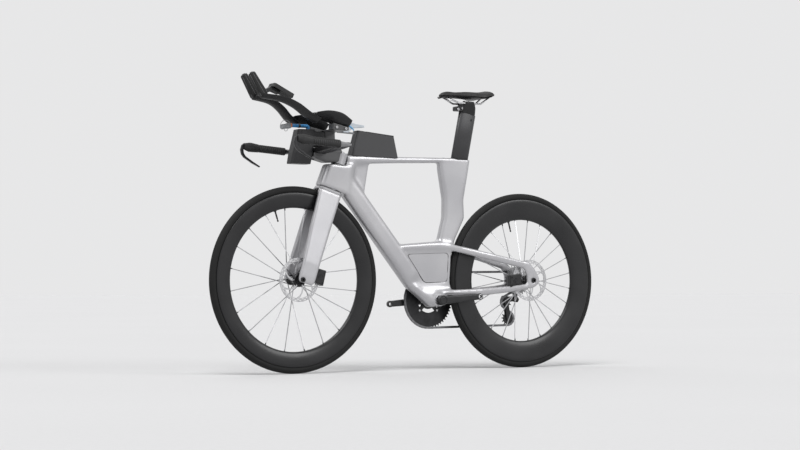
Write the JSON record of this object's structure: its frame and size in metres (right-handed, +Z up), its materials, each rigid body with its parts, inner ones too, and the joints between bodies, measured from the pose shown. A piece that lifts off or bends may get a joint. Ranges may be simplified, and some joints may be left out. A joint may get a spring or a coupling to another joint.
{
  "type": "time trial bike",
  "caption": "Aero time trial bike with deep rims, arm rests on a base bar, a drink tank, a top tube box, disc brakes and a chain drive with a rear derailleur.",
  "frame": {"origin": "on the ground midway between the two axles, in the bike's middle plane", "axes": "+X forward, +Y to the rider's left, +Z up"},
  "size_m": [1.678, 0.454, 1.0814],
  "materials": {
    "frame_paint": "pearl satin gloss",
    "carbon": "satin carbon fibre",
    "tyre": "matt",
    "steel": "brushed",
    "dark_alloy": "black anodised",
    "box_plastic": "fine grain",
    "grip_rubber": "matt",
    "dark_plastic": "satin",
    "foam": "woven cover",
    "straw_blue": "smooth",
    "valve_grey": "soft"
  },
  "bodies": {
    "bike_frame": {"frame": "frame_paint", "storage_cover": "frame_paint", "frame_bearings": "steel", "derailleur_hanger": "frame_paint", "top_tube_box": "box_plastic", "rear_caliper": "dark_alloy", "rear_axle": "dark_alloy", "chain": "steel", "derailleur_fixed_knuckle": "dark_alloy", "frame_fasteners": "steel"},
    "box_lid": {"box_lid": "box_plastic"},
    "steering": {"fork": "frame_paint", "stem": "dark_alloy", "stem_cover": "frame_paint", "base_bar": "carbon", "bar_grips": "grip_rubber", "lever_bodies": "dark_alloy", "riser": "carbon", "arm_cups": "carbon", "extensions": "carbon", "hand_grips": "grip_rubber", "arm_pads": "foam", "computer_mount": "dark_alloy", "bike_computer": "dark_plastic", "drink_tank": "dark_plastic", "drink_straw": "straw_blue", "bite_valve": "valve_grey", "front_caliper": "dark_alloy", "front_axle": "dark_alloy", "cockpit_bolts": "steel"},
    "lever_left": {"brake_lever_left": "dark_alloy"},
    "lever_right": {"brake_lever_right": "dark_alloy"},
    "button_left": {"shift_button_left": "grip_rubber"},
    "button_right": {"shift_button_right": "grip_rubber"},
    "front_wheel": {"front_tyre": "tyre", "front_rim": "carbon", "front_spokes": "steel", "front_hub": "dark_alloy", "front_rotor": "steel"},
    "rear_wheel": {"rear_tyre": "tyre", "rear_rim": "carbon", "rear_spokes": "steel", "rear_hub": "dark_alloy", "rear_rotor": "steel"},
    "cassette": {"cassette": "steel"},
    "crank": {"crank_arm_left": "dark_alloy", "crank_arm_right": "dark_alloy", "chainring": "dark_alloy", "chainring_bolts": "steel"},
    "outer_link": {"derailleur_outer_link": "dark_alloy"},
    "inner_link": {"derailleur_inner_link": "dark_alloy"},
    "moving_knuckle": {"derailleur_moving_knuckle": "dark_alloy"},
    "cage": {"derailleur_cage": "dark_alloy"},
    "guide_pulley": {"guide_pulley": "dark_plastic"},
    "tension_pulley": {"tension_pulley": "dark_plastic"},
    "seat": {"seatpost": "carbon", "saddle_shell": "carbon", "saddle_pad": "foam", "saddle_rails": "steel", "saddle_clamp": "dark_alloy"}
  },
  "joints": [
    {"name": "steering", "type": "hinge", "parent": "bike_frame", "child": "steering", "pos_m": [0.45899, 0, 0.32607], "axis": [-0.3007, 0, 0.9537], "range_deg": [-45, 45]},
    {"name": "front_wheel_spin", "type": "hinge", "parent": "steering", "child": "front_wheel", "pos_m": [0.5, 0, 0.339], "axis": [0, 1, 0], "continuous": true},
    {"name": "rear_wheel_spin", "type": "hinge", "parent": "bike_frame", "child": "rear_wheel", "pos_m": [-0.5, 0, 0.339], "axis": [0, 1, 0], "continuous": true},
    {"name": "crank_spin", "type": "hinge", "parent": "bike_frame", "child": "crank", "pos_m": [-0.1, 0, 0.263], "axis": [0, 1, 0], "continuous": true, "deforming": ["chain"]},
    {"name": "cassette_spin", "type": "hinge", "parent": "bike_frame", "child": "cassette", "pos_m": [-0.5, 0, 0.339], "axis": [0, 1, 0], "continuous": true},
    {"name": "derailleur_shift", "type": "hinge", "parent": "bike_frame", "child": "outer_link", "pos_m": [-0.52, -0.08046, 0.27002], "axis": [0, 0.6691, 0.7431], "range_deg": [-34, 34], "deforming": ["chain"]},
    {"name": "inner_link_pivot", "type": "hinge", "parent": "bike_frame", "child": "inner_link", "pos_m": [-0.52, -0.07154, 0.26199], "axis": [0, 0.6691, 0.7431], "range_deg": [-34.5, 34.5]},
    {"name": "moving_knuckle_pivot", "type": "hinge", "parent": "outer_link", "child": "moving_knuckle", "pos_m": [-0.475, -0.08046, 0.27002], "axis": [0, 0.6691, 0.7431], "range_deg": [-34.5, 34.5]},
    {"name": "cage_pivot", "type": "hinge", "parent": "moving_knuckle", "child": "cage", "pos_m": [-0.458, -0.0473, 0.254], "axis": [0, 1, 0], "range_deg": [-50, 20], "stiffness_Nm_per_rad": 0.6, "deforming": ["chain"]},
    {"name": "guide_pulley_spin", "type": "hinge", "parent": "cage", "child": "guide_pulley", "pos_m": [-0.458, -0.0473, 0.254], "axis": [0, 1, 0], "continuous": true},
    {"name": "tension_pulley_spin", "type": "hinge", "parent": "cage", "child": "tension_pulley", "pos_m": [-0.46774, -0.0473, 0.19074], "axis": [0, 1, 0], "continuous": true},
    {"name": "brake_lever_left", "type": "hinge", "parent": "steering", "child": "lever_left", "pos_m": [0.59017, 0.212, 0.83601], "axis": [0, 1, 0], "range_deg": [0, 18], "stiffness_Nm_per_rad": 0.8, "springref_deg": -11.46},
    {"name": "brake_lever_right", "type": "hinge", "parent": "steering", "child": "lever_right", "pos_m": [0.59017, -0.212, 0.83601], "axis": [0, 1, 0], "range_deg": [0, 18], "stiffness_Nm_per_rad": 0.8, "springref_deg": -11.46},
    {"name": "shift_button_left", "type": "slide", "parent": "steering", "child": "button_left", "axis": [-0.527, 0.039, -0.849], "range_m": [0, 0.0015], "stiffness_N_per_m": 800, "springref_m": -0.001},
    {"name": "shift_button_right", "type": "slide", "parent": "steering", "child": "button_right", "axis": [-0.527, -0.039, -0.849], "range_m": [0, 0.0015], "stiffness_N_per_m": 800, "springref_m": -0.001},
    {"name": "seatpost_height", "type": "slide", "parent": "bike_frame", "child": "seat", "axis": [-0.2011, 0, 0.9796], "range_m": [-0.04, 0.04]},
    {"name": "box_lid", "type": "hinge", "parent": "bike_frame", "child": "box_lid", "pos_m": [0.15376, -0.022, 0.88123], "axis": [0.996, 0, 0.0889], "range_deg": [0, 110]}
  ],
  "couplings": [
    {"joint": "cassette_spin", "follows": "crank_spin", "ratio": 3.0588},
    {"joint": "guide_pulley_spin", "follows": "crank_spin", "ratio": -4.7273},
    {"joint": "tension_pulley_spin", "follows": "crank_spin", "ratio": 4},
    {"joint": "inner_link_pivot", "follows": "derailleur_shift", "ratio": 1},
    {"joint": "moving_knuckle_pivot", "follows": "derailleur_shift", "ratio": -1}
  ]
}
